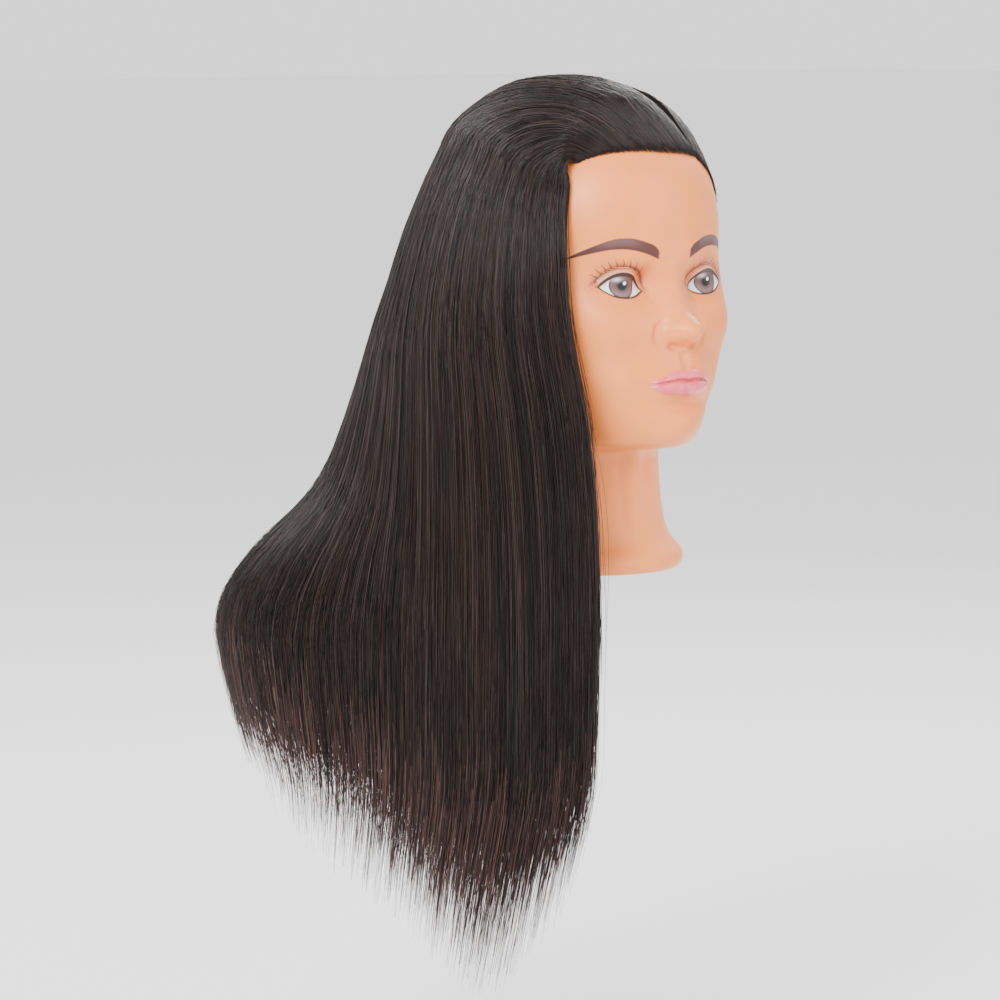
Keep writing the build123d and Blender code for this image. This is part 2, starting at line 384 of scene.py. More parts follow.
# ---- the face
EYE_X, EYE_Z = 32, 168
EYE_INNER, EYE_OUTER = 17.8, 46.4
MOUTH_HALF, MOUTH_Z = 23, 114.6
NOSE_RIDGE = table((
    (186, -92.4), (180, -90.6), (174, -89.8), (168, -91.4), (162, -94.8), (156, -98.8),
    (150, -104.2), (146.5, -108.8), (143, -111.8), (139.8, -111.2), (137.2, -107.4),
    (135, -102.6), (133, -99.8), (130, -99), (126, -99),
))
NOSE_WIDTH = table((
    (186, 15), (176, 9.5), (168, 8.2), (158, 8.8), (150, 8.4), (143, 7.6), (137, 7.6), (126, 8),
))
EYE_UPPER = table((        # place across the eye and level
    (0, 164.4), (0.1, 168.2), (0.25, 172.2), (0.42, 174.2), (0.6, 174.2), (0.8, 172), (0.92, 169.6),
    (1, 167.6),
))
EYE_LOWER = table((
    (0, 164.4), (0.12, 162.6), (0.3, 161.4), (0.5, 161.3), (0.7, 162.3), (0.88, 164.9), (1, 167.6),
))
# How far the face goes in, as humps beside the middle line: depth, centre and radius in mm.
FACE_HUMPS = (
    # eye sockets, and the eyeballs under the lids
    (12.2, (27, 166.5), (20, 12.5)), (3, (17, 172), (7, 8)), (2, (43, 181), (14, 8)),
    (2.2, (19, 165), (6, 9)), (-4.6, (EYE_X, EYE_Z), (15, 9.5)),
    # forehead over the brow bones, temples, cheekbones and the hollows under them
    (1.5, (28, 192), (10, 8)), (1.5, (0, 196), (10, 9)), (2.5, (70, 196), (14, 22)),
    (-3.2, (47, 146), (17, 15)), (3, (30, 127), (12, 12)),
    # muzzle with the hollows beside the chin, the dent over the chin, the chin
    (-3.4, (0, 114), (24, 15)), (2.2, (27, 108), (7, 9)), (4.2, (0, 100), (19, 5.2)),
    (-4, (0, 87), (18, 10)),
    # philtrum
    (1, (0, 127), (2.6, 7)), (-0.6, (4.6, 126), (2.2, 6)),
)
NOSE_HUMPS = ((3.2, (6.6, 133.6), (3, 2)), (1, (17.6, 140), (1.8, 6)))     # nostrils, creases
SHADOW_HUMPS = (
    (0.42, (34, 177.5), (15, 5)), (0.5, (46.5, 169.5), (5.5, 4.5)), (0.4, (17.5, 170), (3.5, 6)),
    (0.14, (33, 160), (14, 2.5)),
)
# Blush on the cheeks, then painted shade in the nostrils and beside the nose wings: amount, centre and
# radius.
BLUSH_AND_SHADE_HUMPS = ((0.16, (46, 140), (22, 20)), (0.55, (6.6, 133.4), (4.2, 1.8)), (0.18, (16, 136), (5, 6)))


def lip_share(x, z):
    """How far up the upper lip, or down the lower, from the line of the mouth: 0 to 1."""
    gap = z - (MOUTH_Z - 3.2 * (x / MOUTH_HALF) ** 2 - 0.7 * bell(x / 3.5))
    upper = 6.6 * unit(1 - (np.abs(x) / MOUTH_HALF) ** 1.7) ** 0.9 - 1.1 * bell(x / 2.6)
    lower = 9.6 * unit(1 - (np.abs(x) / (MOUTH_HALF - 0.5)) ** 2.2) ** 0.8
    return np.abs(gap) / np.maximum(np.where(gap >= 0, upper, lower), 0.3), gap


def eye_span(x):
    return unit((x - EYE_INNER) / (EYE_OUTER - EYE_INNER))


def eye_upper(x):
    return EYE_UPPER(eye_span(x))


def eye_lower(x):
    return EYE_LOWER(eye_span(x))


def add_nose(y, side, z, front):
    """A ridge with a bulb, wings and nostrils."""
    arch = NOSE_RIDGE(z) + 13 * (side / (1.42 * NOSE_WIDTH(z))) ** 2
    arch = arch + (1 - ease(190, 180, z) * ease(124, 131, z)) * 40
    bulb = -113.8 + ((side / 8) ** 2 + ((z - 142.6) / 6.6) ** 2) * 6.5
    wing = -98.8 + (((side - 10.8) / 5) ** 2 + ((z - 139.2) / 6.2) ** 2) * 5.4
    for form, soft in ((arch, 7), (bulb, 4), (wing, 4)):
        y = np.where(y < -40, union(y, form, soft), y)
    groove = bell((np.hypot(side - 10.4, (z - 139.3) / 1.05) - 7.8) / 1.7)
    y = y + front * 1.3 * groove * ease(9, 13, side) * ease(131, 135, z)
    return y + front * humps(side, z, NOSE_HUMPS)


def sculpt_face(points):
    """Moves the front of the plain head form into a face."""
    x, y, z = np.moveaxis(points, -1, 0)
    front = ease(-18, -45, y)
    side = np.abs(x)
    y = add_nose(y + humps(side, z, FACE_HUMPS) * front, side, z, front)
    # lips
    share, gap = lip_share(x, z)
    bulge = np.where(gap >= 0, 2.6, 3.6) * np.sin(pi * unit(share) ** 0.75) ** 0.8
    y = y - front * bulge * unit(1 - (side / MOUTH_HALF) ** 3) * (share < 1)
    y = y + front * 1.9 * bell(gap) * unit(1 - (side / (MOUTH_HALF + 2)) ** 6)
    # the fold of the upper lid, and the rims of both lids
    reach = front * unit(1 - (np.abs(side - EYE_X) / 17.5) ** 4)
    y = y + reach * 1.3 * bell((z - eye_upper(side) - 4.2) / 1.5)
    y = y - reach * 0.9 * bell((z - eye_upper(side) - 1.2) / 1.6)
    y = y - reach * 0.6 * bell((z - eye_lower(side) + 1) / 1.6)
    return stack(x, y, z)


def paint_masks(points):
    """Lips, eye shadow, and blush with painted shade at the nose and mouth, 0 to 1 at each point of the
    head.
    """
    x, y, z = np.moveaxis(points, -1, 0)
    side = np.abs(x)
    front = (y < -50).astype(float)
    share, gap = lip_share(x, z)
    lips = ease(1.1, 0.86, share) * ease(MOUTH_HALF + 0.8, MOUTH_HALF - 2, side) * front
    shadow = np.clip(humps(side, z, SHADOW_HUMPS), 0, 0.65) * front
    # the blush and the painted shade of the nose, and painted shade along the line of the mouth
    blush_and_shade = humps(side, z, BLUSH_AND_SHADE_HUMPS) + 0.22 * bell(gap / 0.9) * (side < MOUTH_HALF)
    return stack(lips, shadow, unit(blush_and_shade * front), np.ones_like(lips))


def head_places(form):
    """Places of the head's rows, closest together between the chin and the brows."""
    fine, level = form.levels()
    share = running_sum(0.5 + 0.75 * ease(80, 92, level) * (1 - ease(196, 215, level)), fine)
    return np.interp(np.linspace(0, share[-1], int(share[-1] / 1.2)), share, fine)


def smoothed(grid, passes):
    """The same grid with its small features softened away; the ends stay where they are."""
    grid = grid.copy()
    for _ in range(passes):
        grid = (np.roll(grid, 1, axis=1) + 2 * grid + np.roll(grid, -1, axis=1)) / 4
        grid[1:-1] = (grid[:-2] + 2 * grid[1:-1] + grid[2:]) / 4
    return grid


def shell_inside(outer, depth, passes):
    """Every seventh row, moved inside the wall and softened, from the crown down."""
    soft = smoothed(outer, passes)
    round_head = np.roll(soft, -1, axis=1) - np.roll(soft, 1, axis=1)
    rows = soft - normed(np.cross(round_head, np.gradient(soft, axis=0))) * depth
    rows = rows[::-7][1:]
    return rows[rows[..., 2].min(axis=1) > WALL + 12]


def foot_ring(half_width, half_depth, level, angles):
    return stack(half_width * np.sin(angles), -half_depth * np.cos(angles), level + 0 * angles)[None]


def build_head(form, skin):
    """A closed shell: the outside up to the crown, then the inside back down to the base."""
    angles = column_angles()
    outer = sculpt_face(form.grid(head_places(form), angles))
    inner = join(
        shell_inside(outer, WALL, 14),
        foot_ring(63, 66, WALL, angles),
        foot_ring(*BASE_HOLE, WALL, angles),
        foot_ring(*BASE_HOLE, 0, angles),
        outer[:1],
    )
    grid = join(outer, inner)
    rows, cols = grid.shape[:2]
    crown_end, tip = len(outer) * cols, rows * cols
    over = fan(crown_end - cols, cols, tip)
    under = fan(crown_end, cols, tip + 1)[:, ::-1]
    tips = [[0, 0, outer[-1, :, 2].mean() + 0.2], [0, 0, inner[0, :, 2].mean()]]
    verts = join(grid.reshape(-1, 3), tips)
    mesh = new_mesh("head", verts, [ring_faces(rows, cols, len(outer) - 1), over, under])
    masks = np.zeros((len(verts), 4))
    masks[:crown_end] = paint_masks(outer).reshape(-1, 4)
    add_vinyl("head", mesh, skin, masks, 0 * masks)
    return outer


def build_foam(outer):
    """The foam inside the head, following the inside of the wall under the root lining."""
    rows = shell_inside(outer, WALL + 2.4, 20)[:, ::4]
    tips = [[0, 0, rows[0, :, 2].mean()], rows[-1].mean(axis=0)]
    faces = closed_faces(*rows.shape[:2], -1)
    mesh = new_mesh("foam_filling", join(rows.reshape(-1, 3), tips), faces)
    material = mottled_material("foam", (0.85, 0.8, 0.62), 0.9, (0.8, 0.73, 0.52), (0.9, 0.85, 0.68),
                                (260, 4), (0.0006, 0.8))
    add_piece("foam_filling", mesh, [material], "foam_core")


def build_lining(outer):
    """The thin cap of latex inside the scalp that holds the hair roots."""
    near, far = (shell_inside(outer, WALL + depth, 20)[:, ::3] for depth in (0.5, 1.7))
    scalp = near[:, :, 2].min(axis=1) > 168
    grid = join(near[scalp][::-1], far[scalp])
    rows, cols = grid.shape[:2]
    half, last = rows // 2, (rows - 1) * cols
    caps = np.arange((half - 1) * cols, (half + 1) * cols).reshape(2, cols)
    caps[1] = caps[1, ::-1]
    faces = [ring_faces(rows, cols, half - 1), band(last, 0, cols), caps]
    mesh = new_mesh("root_cap", grid.reshape(-1, 3), faces)
    material = mottled_material("latex", (0.72, 0.55, 0.34), 0.6, (0.66, 0.48, 0.28),
                                (0.78, 0.62, 0.42), (90, 3), (0.0003, 0.6))
    add_piece("root_cap", mesh, [material], "root_lining")


# ---- the printed eyes, brows and lips
PRINT_LIFT, PRINT_DEPTH = 0.07, 0.5
PRINT_STEP, FACE_REACH = 0.24, 90
PRINTS = (       # name, levels and angles of a patch of the face that holds the whole print
    ("print_right_eye", (156, 199), (-50, -5)),
    ("print_left_eye", (156, 199), (5, 50)),
    ("print_lips", (101, 124), (-22, 22)),
)


def lay(ink, colour, amount):
    """Lays colour over the ink, which holds colour times amount, and the amount, at each point."""
    amount = unit(amount)[..., None]
    ink *= 1 - amount
    ink += amount * (*colour, 1)


def line_cover(distance, half_width, soft=0.22):
    return ease(half_width + soft, half_width - soft, distance)


def from_curve(curve, x, z):
    """Distance from z = curve(x), measured square to the curve."""
    slope = (curve(x + 0.2) - curve(x - 0.2)) / 0.4
    return (z - curve(x)) / np.sqrt(1 + slope ** 2)


def from_stroke(x, z, start, end):
    """Distance from a short straight stroke, and how far along it: 0 to 1."""
    start, along = np.array(start), np.subtract(end, start)
    share = unit(((x - start[0]) * along[0] + (z - start[1]) * along[1]) / (along @ along))
    return np.hypot(x - start[0] - share * along[0], z - start[1] - share * along[1]), share


LASHES = (        # foot and tip of each painted lash, measured out from the middle of the face
    (20.8, 175.2, 19.4, 178.6), (24.4, 177.6, 24.4, 181.4), (27.6, 178.6, 28.4, 182.6),
    (30.8, 179.1, 32.4, 183), (34.2, 179, 36.6, 182.7), (37.4, 178.4, 40.2, 181.8),
    (40.4, 177.2, 43.6, 180), (43.2, 175.6, 46.8, 177.6), (45.6, 173.6, 49.6, 174.8),
)
CREASE = table((
    (15.6, 166.5), (17.5, 171.2), (20, 174.9), (24, 177.4), (29, 178.7), (34, 178.6),
    (39, 176.9), (43, 174.3), (47, 171.2), (50.5, 168.8),
))
BROW_FOOT, BROW_TOP = tables((
    (11.6, 182.8, 187.2), (14, 183.8, 189.8), (20, 186.2, 192.6), (26, 188, 194.4), (33, 188.9, 195),
    (40, 188.6, 194), (47, 187.1, 191), (53, 185.2, 187.6), (58.6, 183.2, 183.4),
))


def ink_eye(ink, x, side, z):
    span = eye_span(side)
    over, under = from_curve(eye_upper, side, z), from_curve(eye_lower, side, z)
    within = (side > EYE_INNER - 0.3) & (side < EYE_OUTER + 0.3)
    inside = ease(0.2, -0.2, over) * ease(-0.2, 0.2, under) * within
    lay(ink, (0.8, 0.77, 0.74), inside)
    # painted shade of the upper lid over the top of the eye white
    lay(ink, (0.45, 0.36, 0.35), inside * 0.75 * ease(-3.6, -0.4, over))
    lay(ink, (0.62, 0.4, 0.36), inside * 0.5 * ease(0.2, 0, span))
    # iris
    up = z - EYE_Z
    radius = np.hypot((side - EYE_X) * 0.88, up - 0.2)
    iris = inside * ease(7.7, 7.3, radius)
    rays = 0.5 + 0.5 * np.sin(np.arctan2(up, side - EYE_X) * 38 + 2 * np.sin(radius * 1.7))
    lay(ink, (0.11, 0.052, 0.045), iris)
    lay(ink, (0.21, 0.12, 0.105), iris * ease(1.5, -5.5, up) * 0.8)
    lay(ink, (0.28, 0.18, 0.165), iris * rays * 0.2 * ease(2.4, 4.5, radius))
    # painted shade of the upper lid over the top of the iris
    lay(ink, (0.06, 0.035, 0.035), iris * 0.65 * ease(1, 5.5, up))
    lay(ink, (0.05, 0.025, 0.025), iris * bell((radius - 7.3) / 0.75) * 0.9)
    lay(ink, (0.035, 0.02, 0.022), iris * 0.85 * np.exp(-((radius / 4.3) ** 4)))
    lay(ink, (0.004, 0.003, 0.004), iris * ease(3.1, 2.3, radius))
    # two highlights, on the same side of both eyes
    aside = x - np.sign(x) * EYE_X
    lay(ink, (0.75, 0.72, 0.74), iris * 0.6 * hump(aside, up, (-3.6, 3.8), (3.4, 1.3)))
    lay(ink, (0.95, 0.94, 0.94), inside * ease(1.25, 0.85, np.hypot(aside - 1.6, up - 1.5)))
    # outline, heavier above
    heavy = 0.42 + 0.72 * np.sin(pi * span) ** 0.8 + 0.25 * ease(0.7, 1, span)
    tail = ease(EYE_OUTER + 2.2, EYE_OUTER - 0.5, side) * ease(EYE_INNER - 1.4, EYE_INNER + 0.4, side)
    lay(ink, (0.035, 0.012, 0.01), line_cover(np.abs(over - 0.25), heavy) * tail)
    lay(ink, (0.035, 0.012, 0.011), line_cover(np.abs(under + 0.1), 0.48) * within)


def ink_lid(ink, side, z):
    """The crease over the lid, its airbrushed shade, a painted highlight along the lid and the painted
    lashes.
    """
    over = from_curve(CREASE, side, z)
    ends = ease(14.4, 17.5, side) * ease(52.5, 46, side)
    lay(ink, (0.32, 0.065, 0.036), 0.6 * bell(over / 2.6) * ends)
    lay(ink, (0.1, 0.024, 0.017), 0.9 * line_cover(np.abs(over), 0.68, 0.5) * ends)
    between = from_curve(eye_upper, side, z)
    lid = (over < 0) & (between > 0) & (side > EYE_INNER) & (side < EYE_OUTER)
    # painted highlight along the lid, between the crease and the eye's outline
    lay(ink, (0.86, 0.6, 0.45), 0.3 * lid * np.sin(pi * unit(between / 3.4)))
    for x0, z0, x1, z1 in LASHES:
        distance, share = from_stroke(side, z, (x0, z0 - 1), (x1, z1))
        lay(ink, (0.06, 0.018, 0.014), 0.95 * line_cover(distance, 0.44 * (1 - 0.65 * share), 0.18))


def ink_brow(ink, side, z):
    top, foot = BROW_TOP(side), BROW_FOOT(side)
    share = (z - foot) / np.maximum(top - foot, 0.2)
    edge = ease(-0.45, 0.35, z - foot) * ease(0.45, -0.35, z - top)
    cover = edge * ease(11.2, 12.4, side) * ease(58.9, 57.8, side)
    along = unit((side - 12) / 46)
    # the lighter mauve along the middle and top of the brow is a painted sheen
    mauve = ease(0.12, 0.42, along) * ease(0.86, 0.6, along) * ease(-0.1, 0.8, share)
    lay(ink, (0.075, 0.02, 0.016), cover)
    lay(ink, (0.125, 0.056, 0.052), cover * mauve)
    lay(ink, (0.04, 0.012, 0.009), cover * ease(0.55, 1, along) * 0.85)
    lay(ink, (0.045, 0.013, 0.01), cover * 0.5 * ease(0.35, -0.1, share))


def face_ink(points):
    """Colour and amount of ink at each point; plain brown where there is none."""
    x, z = points[..., 0], points[..., 2]
    side = np.abs(x)
    ink = np.zeros((*x.shape, 4))
    ink_lid(ink, side, z)
    ink_eye(ink, x, side, z)
    ink_brow(ink, side, z)
    amount = ink[..., 3:]
    solid = np.where(amount > 0.003, ink[..., :3] / np.maximum(amount, 1e-6), (0.3, 0.12, 0.08))
    return np.concatenate([solid, amount], axis=-1)


def print_patch(form, skin, name, levels, angles):
    """A thin printed layer: a fine copy of the skin, kept where something is painted."""
    places = np.arange(*(form.place_of_level(level) for level in levels), PRINT_STEP)
    start, end = (radians(angle) for angle in angles)
    turns = np.linspace(start, end, int(abs(end - start) * FACE_REACH / PRINT_STEP))
    grid = sculpt_face(form.grid(places, turns))
    normals = normed(np.cross(np.gradient(grid, axis=1), np.gradient(grid, axis=0)))
    masks, ink = paint_masks(grid), face_ink(grid)
    painted = np.maximum(masks[..., 0], ink[..., 3]) > 0.004
    keep = painted[:-1, :-1] | painted[1:, :-1] | painted[:-1, 1:] | painted[1:, 1:]
    mesh, used = layer_mesh(name, grid + normals * PRINT_LIFT, grid - normals * PRINT_DEPTH, keep)
    add_vinyl(name, mesh, skin, *(np.tile(layer.reshape(-1, 4)[used], (2, 1)) for layer in (masks, ink)))


# ---- the ears
EAR_LEVEL, EAR_BACK, EAR_LEAN = 153, 12, radians(-10)
EAR_RINGS, EAR_COLUMNS = 30, 110
# Outline of the ear, seen from its side: forward and up from its middle, in mm.
EAR_OUTLINE = (
    (10, 16), (11, 23), (6, 28.5), (-2, 30.5), (-11, 28), (-17, 20), (-19, 9), (-17.5, -2), (-13, -12),
    (-8.5, -20), (-4.5, -26.5), (1, -29.5), (6.5, -27.5), (9, -21), (9.5, -13), (10.5, -4), (10, 6),
)
ANTIHELIX = ((-4, -16), (-9.5, -7), (-11, 4), (-7.5, 13), (-1, 19))
FORK = ((-9, 9), (-3, 10.5), (4, 12))
EAR_HUMPS = (
    (-6.5, (1.5, -3), (7, 10)), (-1.5, (2, 17), (5, 3.5)), (3.6, (9.2, -5), (2.6, 4.6)),
    (2.4, (1.5, -15), (4, 2.4)), (1.2, (1, -24), (7, 5)),
)


def from_polyline(f, u, points):
    return np.min([from_stroke(f, u, *ends)[0] for ends in zip(points, points[1:])], axis=0)


def ear_relief(f, u, share):
    """Height of the ear's folds over its plane; share runs from its middle to its rim."""
    rim = bell((share - 0.9) / 0.085) * ease(-24, -8, u) * (1 - ease(4, 9, f) * ease(16, 10, u))
    ridges = 3 * bell(from_polyline(f, u, ANTIHELIX) / 2.6) + 2 * bell(from_polyline(f, u, FORK) / 2.2)
    return 3.6 * rim + ridges + humps(f, u, EAR_HUMPS)


def build_ear(side, skin):
    """One ear: a folded front and a plain back that meet in a rounded rim."""
    share = evenly(EAR_RINGS)[:, None]
    middle = np.array([-1, 1])
    count = len(EAR_OUTLINE)
    wanted = np.linspace(0, count, EAR_COLUMNS, endpoint=False)
    outline = through(EAR_OUTLINE + EAR_OUTLINE[:3], range(-1, count + 2), wanted) - middle
    f, u = np.moveaxis(middle + outline * share[..., None], -1, 0)
    stand = 3 + (11 - f) * (0.46 if side > 0 else 0.2)
    edge = np.sqrt(unit(1 - share ** 8))
    front = stand + ear_relief(f, u, share) * (0.4 + 0.8 * edge) + 1.6 * edge
    back = stand - 2.2 * edge - 5.5 * hump(f, u, (1.5, -3), (8, 11)) * edge
    forward, up = f * cos(EAR_LEAN) - u * sin(EAR_LEAN), u * cos(EAR_LEAN) + f * sin(EAR_LEAN)
    front, back = (stack(side * (75 + out), EAR_BACK - forward, EAR_LEVEL + up) for out in (front, back))
    grid = join(front[1:], back[-2:0:-1])
    verts = join(grid.reshape(-1, 3), front[:1, 0], back[:1, 0])
    name = "ear_left" if side > 0 else "ear_right"
    blank = np.zeros((len(verts), 4))
    add_vinyl(name, new_mesh(name, verts, closed_faces(*grid.shape[:2], side)), skin, blank, blank)


# ---- the hair's form
# Outline of the hanging hair: level, half width, front, back, and how far it fans out behind.
HALF_WIDTH, FRONT, BACK, FAN = tables((
    (244, 68, -90, 74, 0), (236, 74, -96, 81, 0), (212, 84, -102, 94, 0),
    (190, 91, -107, 105, 0), (160, 98, -108, 113, 2), (136, 102, -108, 118, 6),
    (110, 104, -107, 121, 11), (84, 106, -106, 124, 17), (62, 107, -105, 125, 24),
    (43, 108, -104, 126, 33), (28, 108, -103, 127, 45), (14, 109, -102, 128, 60),
    (-4, 109, -101, 128, 76), (-20, 110, -100, 128, 86), (-42, 110, -99, 128, 91),
    (-60, 110, -98, 128, 88), (-90, 110, -96, 127, 82), (-120, 109, -94, 126, 74),
    (-170, 108, -91, 124, 62), (-240, 106, -88, 122, 50),
))
FAN_BEARING, FAN_SPREAD = 137, 27
# Where the hair leaves the head and hangs, at the temple and behind.
TEMPLE_SHOULDER, SHOULDER = 222, 238
# The near edge beside the cheek: level and bearing.
FRONT_EDGE = table((
    (236, 39), (218, 42.5), (190, 42.5), (154, 41.8), (120, 38.8), (96, 36.2), (66, 34.4), (38, 33.2),
    (3, 32.4), (-66, 32.2), (-125, 33.4), (-172, 39), (-230, 46),
))
BACK_EDGE = 214
# The line of the hair ends seen square-on from the front right: sideways place and level.
ENDS = table((
    (30, -40), (22, -90), (15, -128), (4, -166), (-18, -202), (-46, -231), (-72, -214), (-100, -192),
    (-132, -171), (-170, -137), (-194, -104), (-208, -70), (-216, -50), (-240, -40),
))
ENDS_FACING = 40
HEAD_MIDDLE = np.array([0.0, 8.0, 178.0])
# The front hairline from the near temple to the far one: x and level.
HAIRLINE = table((
    (-58, 226), (-54, 233), (-50, 239), (-42, 244), (-28, 247), (0, 248.4), (28, 247), (42, 244), (50, 240),
))
# Where the hairs of the front hairline grow: place across the sheet and x.
COMBED_FROM = table((
    (0, -50), (0.05, -46), (0.1, -42), (0.2, -33.5), (0.3, -24), (0.42, -13), (0.55, -1), (0.7, 12),
    (0.85, 25), (1, 36),
))
OVER_DOME, HANGING = 22, 58
SPLIT = OVER_DOME / (OVER_DOME + HANGING - 1)       # how far down the curtain's paths the dome ends


def hang_radius(level, bearing):
    turn = np.radians(bearing)
    reach = np.where(np.cos(turn) > 0, -FRONT(level), BACK(level))
    plain = 1 / np.sqrt((np.sin(turn) / HALF_WIDTH(level)) ** 2 + (np.cos(turn) / reach) ** 2)
    return plain + FAN(level) * bell((bearing - FAN_BEARING) / FAN_SPREAD)


def hang_point(level, bearing):
    radius, turn = hang_radius(level, bearing), np.radians(bearing)
    return stack(-radius * np.sin(turn), -radius * np.cos(turn), level + 0 * radius)


def hang_bearing(share, level):
    edge = FRONT_EDGE(level)
    return edge + (BACK_EDGE - edge) * share


def end_level(share):
    """The level where the hairs of one path end."""
    level = np.full_like(share, -150)
    for _ in range(6):
        bearing = hang_bearing(share, level)
        aside = hang_radius(level, bearing) * np.sin(np.radians(ENDS_FACING - bearing))
        level = 0.5 * level + 0.5 * ENDS(aside)
    return level


class Dome:
    """The head's surface seen from its middle, for laying hair over it."""

    def __init__(self, outer):
        rows, cols = outer.shape[:2]
        verts = join(outer.reshape(-1, 3), [[0, 0, outer[-1, :, 2].mean()]])
        tip = rows * cols
        faces = ring_faces(rows, cols).tolist() + fan(tip - cols, cols, tip).tolist()
        self.tree = BVHTree.FromPolygons(verts.tolist(), faces)

    def lay(self, paths, lift, settle):
        """Moves paths out to lie lift above the skin, or less so where settle nears 1."""
        flat = paths.reshape(-1, 3)
        lifts = np.broadcast_to(lift, paths.shape[:-1]).ravel()
        laid = np.empty_like(flat)
        for i, point in enumerate(flat):
            way = Vector(point - HEAD_MIDDLE).normalized()
            spot = self.tree.ray_cast(Vector(HEAD_MIDDLE), way)[0]
            laid[i] = np.array(spot) + np.array(way) * lifts[i]
        return laid.reshape(paths.shape) * (1 - settle) + paths * settle


def bezier(points, t):
    a, b, c, d = (point[:, None, :] for point in points)
    t = t[:, None]
    return (1 - t) ** 3 * a + 3 * (1 - t) ** 2 * t * b + 3 * (1 - t) * t ** 2 * c + t ** 3 * d


class Sheet:
    """A sheet of hair: paths side by side, each a row of points from root to end."""

    def __init__(self, *parts):
        self.points = points = np.concatenate(parts, axis=1)
        normals = normed(np.cross(np.gradient(points, axis=1), np.gradient(points, axis=0)))
        outward = points - HEAD_MIDDLE
        outward[..., 2] = np.clip(outward[..., 2], 0, None)
        facing = np.sign((normals * outward).sum(-1))
        self.normals = normals * np.where(np.median(facing) < 0, -1, 1)

    def sample(self, across, along):
        """Points and normals at places across and along; outside 0 to 1 they run straight on."""
        rows, cols = self.points.shape[:2]
        u, v = across * (rows - 1), along * (cols - 1)
        i, j = np.clip(u.astype(int), 0, rows - 2), np.clip(v.astype(int), 0, cols - 2)
        fu, fv = (u - i)[..., None], (v - j)[..., None]
        found = []
        for array in (self.points, self.normals):
            near = array[i, j] * (1 - fv) + array[i, j + 1] * fv
            far = array[i + 1, j] * (1 - fv) + array[i + 1, j + 1] * fv
            found.append(near * (1 - fu) + far * fu)
        return found


def curtain_sheet(dome):
    """Hair combed back from the forehead, down over the near side and the back."""
    share = evenly(90)
    x = COMBED_FROM(share)
    roots = stack(x, -80 + 0.006 * x ** 2, HAIRLINE(x))
    shoulder = TEMPLE_SHOULDER + (SHOULDER - TEMPLE_SHOULDER) * ease(0, 0.28, share)
    leave = hang_point(shoulder, hang_bearing(share, shoulder))
    rise = stack(-6 - 3 * (1 - share), 1 + 55 * share ** 0.75, 3 + 20 * np.sqrt(share))
    behind = ease(0, 0.4, share)
    drop = stack(*(leave[:, :2].T * -0.12 * behind), 8 + 44 * behind)
    t = np.linspace(0, 1, OVER_DOME, endpoint=False)
    path = bezier((roots, roots + rise, leave + drop, leave), t)
    over = dome.lay(path, 1.2 + 7.8 * ease(0, 0.4, t), ease(0.6, 1, t)[:, None])
    fall = evenly(HANGING)
    levels = shoulder[:, None] + (end_level(share) - shoulder)[:, None] * fall
    return Sheet(over, hang_point(levels, hang_bearing(share[:, None], levels)))


# Paths on the far side: at the part in the crown, in the middle and over the ear.
SWEPT = (
    ((33, -76, 247), (31, -40, 264), (28, 0, 270), (32, 40, 260), (41, 68, 237), (48, 86, 208),
     (52, 98, 175), (56, 106, 140), (60, 110, 100)),
    ((55, -66, 222), (63, -36, 235), (66, 4, 234), (66, 40, 216), (64, 66, 190), (62, 84, 160),
     (62, 94, 135), (63, 101, 112), (64, 106, 84)),
    ((68, -30, 184), (73, -10, 186), (76, 8, 191), (77, 26, 190), (76, 40, 178), (73, 50, 158),
     (70, 62, 136), (68, 78, 112), (67, 92, 76)),
)


def swept_sheet(dome):
    """The far side: combed back over and behind the ear, then hanging down the back."""
    share = evenly(40)
    t = evenly(26)
    places = evenly(len(SWEPT[0]))
    high, middle, low = (through(path, places, t) for path in SWEPT)
    weight = share[:, None, None]
    upper = high + (middle - high) * unit(2 * weight)
    path = np.where(weight < 0.5, upper, middle + (low - middle) * unit(2 * weight - 1))
    lift = 1.2 + (8.5 - 3.5 * share[:, None]) * ease(0, 0.16, t)
    over = dome.lay(path, lift, ease(0.5, 0.8, t)[:, None])
    end = over[:, -1]
    bearing = np.degrees(np.arctan2(-end[:, 0], -end[:, 1])) % 360
    low_level = end_level(np.full_like(share, 0.97)) + 14 * np.sin(share * 9)
    fall = evenly(40)[1:]
    levels = end[:, None, 2] + (low_level - end[:, 2])[:, None] * fall
    gap = (end - hang_point(end[:, 2], bearing))[:, None] * (1 - ease(0, 0.35, fall))[:, None]
    return Sheet(over, hang_point(levels, bearing[:, None]) + gap)


def nape_sheet():
    """Shorter hair rooted at the nape, under the longer hair."""
    share = evenly(40)
    levels = 112 - (222 + 10 * np.sin(share * 11))[:, None] * share
    outer = hang_point(levels, 112 + 96 * share[:, None])
    inset = 20 + 24 * (1 - ease(0, 0.35, share))
    radius = np.linalg.norm(outer[..., :2], axis=-1)
    outer[..., :2] *= (1 - inset / radius)[..., None]
    return Sheet(outer)


# ---- strands and the bodies under them
SHADES = (       # name, colour and roughness, and the share of strands that have it
    ("dark", (0.005, 0.0025, 0.0022), 0.32, 0.52),
    ("brown", (0.0105, 0.0052, 0.0044), 0.35, 0.28),
    ("mauve", (0.034, 0.0215, 0.0205), 0.4, 0.11),
    ("russet", (0.028, 0.0098, 0.0068), 0.38, 0.09),
    # the lighter reddish shade of the ends is painted light shining through the thin tips
    ("ends", (0.088, 0.041, 0.033), 0.42, 0),
)
BACKLIT_END_SHADE = len(SHADES) - 1
SHARES = [shade[-1] for shade in SHADES[:BACKLIT_END_SHADE]]
SECTIONS = (     # name, first and last place across the curtain, and the number of strand pieces
    ("right_side", 0, 0.25, 4), ("right_crown", 0.25, 0.62, 7), ("left_crown", 0.62, 1, 3),
)
RNG = np.random.default_rng(7)


